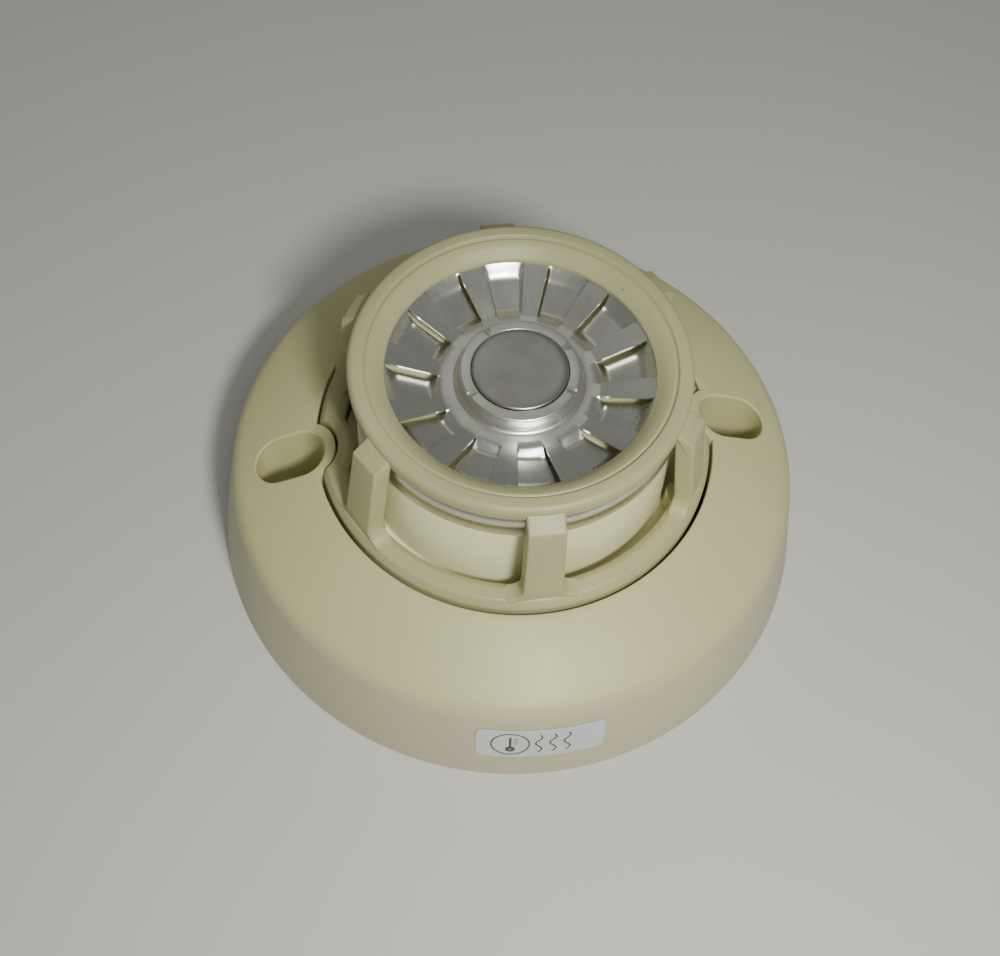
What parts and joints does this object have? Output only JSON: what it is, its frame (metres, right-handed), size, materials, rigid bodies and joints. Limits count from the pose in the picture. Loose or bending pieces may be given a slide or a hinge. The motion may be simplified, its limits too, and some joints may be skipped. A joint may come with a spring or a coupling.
{
  "type": "heat detector",
  "caption": "Round ceiling heat detector: a conical screw-fixed base and a plug-in head with a caged aluminium collector plate over a snap-disc contact set.",
  "frame": {"origin": "centre of the base's rim, on the plane that lies against the ceiling", "axes": "+Z from the ceiling face towards the sensing end; the two screw wells lie on X; the label faces -Y"},
  "size_m": [0.109, 0.109, 0.0478],
  "materials": {
    "base_ivory": "moulded thermoplastic, fine texture, slightly yellowed",
    "cage_ivory": "moulded thermoplastic, fine texture, slightly yellowed",
    "inner_ivory": "moulded thermoplastic, smoother than the skirt",
    "collector_aluminium": "pressed sheet, brushed satin",
    "cap_aluminium": "drawn cap with a brushed top",
    "contact_brass": "stamped strip, dull",
    "bimetal": "snap disc, dull",
    "screw_steel": "zinc plated",
    "carrier_phenolic": "dark phenolic moulding",
    "contact_silver": "silver contact, dull",
    "seal_rubber": "matt",
    "guide_nylon": "natural nylon",
    "label_paper": "printed vinyl sticker"
  },
  "bodies": {
    "base": {"base_housing": "base_ivory", "terminal_plate": "inner_ivory", "plate_screw_1": "screw_steel", "plate_screw_2": "screw_steel", "plate_screw_3": "screw_steel", "terminal_bracket_left": "contact_brass", "terminal_bracket_right": "contact_brass", "bracket_rivet_left": "contact_brass", "bracket_rivet_right": "contact_brass", "label_sticker": "label_paper"},
    "clamp_left": {"clamp_plate_left": "screw_steel"},
    "clamp_screw_left": {"clamp_screw_left": "screw_steel"},
    "clamp_right": {"clamp_plate_right": "screw_steel"},
    "clamp_screw_right": {"clamp_screw_right": "screw_steel"},
    "head": {"cage": "cage_ivory", "collector_plate": "collector_aluminium", "sensor_cap": "cap_aluminium", "bimetal_disc": "bimetal", "disc_retainer": "screw_steel", "inner_housing": "inner_ivory", "pin_guide": "guide_nylon", "contact_seal": "seal_rubber", "fixed_contact": "contact_silver", "leaf_terminal": "contact_brass", "fixed_terminal": "contact_brass", "leaf_rivet": "screw_steel", "fixed_rivet": "screw_steel", "contact_carrier": "carrier_phenolic", "head_back_plate": "inner_ivory", "head_screw_1": "screw_steel", "head_screw_2": "screw_steel", "head_screw_3": "screw_steel", "carrier_screw_1": "screw_steel", "carrier_screw_2": "screw_steel"},
    "pin": {"push_pin": "guide_nylon"},
    "leaf": {"contact_leaf": "contact_brass", "moving_contact": "contact_silver"}
  },
  "joints": [
    {"name": "head_plug", "type": "slide", "parent": "base", "child": "head", "axis": [0, 0, 1], "range_m": [0, 0.03]},
    {"name": "leaf_bend", "type": "hinge", "parent": "head", "child": "leaf", "pos_m": [-0.012, 0, 0.03055], "axis": [0, 1, 0], "range_deg": [0, 3], "stiffness_Nm_per_rad": 0.0075, "springref_deg": -2.86},
    {"name": "pin_travel", "type": "slide", "parent": "head", "child": "pin", "axis": [0, 0, -1], "range_m": [0, 0.00065], "deforming": ["bimetal_disc"]},
    {"name": "clamp_left_lift", "type": "slide", "parent": "base", "child": "clamp_left", "axis": [0, 0, 1], "range_m": [0, 0.0019]},
    {"name": "clamp_left_turn", "type": "hinge", "parent": "clamp_left", "child": "clamp_screw_left", "pos_m": [-0.02, 0.009, 0.0085], "axis": [0, 0, 1], "range_deg": [0, 990]},
    {"name": "clamp_right_lift", "type": "slide", "parent": "base", "child": "clamp_right", "axis": [0, 0, 1], "range_m": [0, 0.0019]},
    {"name": "clamp_right_turn", "type": "hinge", "parent": "clamp_right", "child": "clamp_screw_right", "pos_m": [0.02, -0.009, 0.0085], "axis": [0, 0, 1], "range_deg": [0, 990]}
  ],
  "couplings": [
    {"joint": "pin_travel", "follows": "leaf_bend", "m_per_rad": 0.012},
    {"joint": "clamp_left_turn", "follows": "clamp_left_lift", "rad_per_m": 8976},
    {"joint": "clamp_right_turn", "follows": "clamp_right_lift", "rad_per_m": 8976}
  ]
}
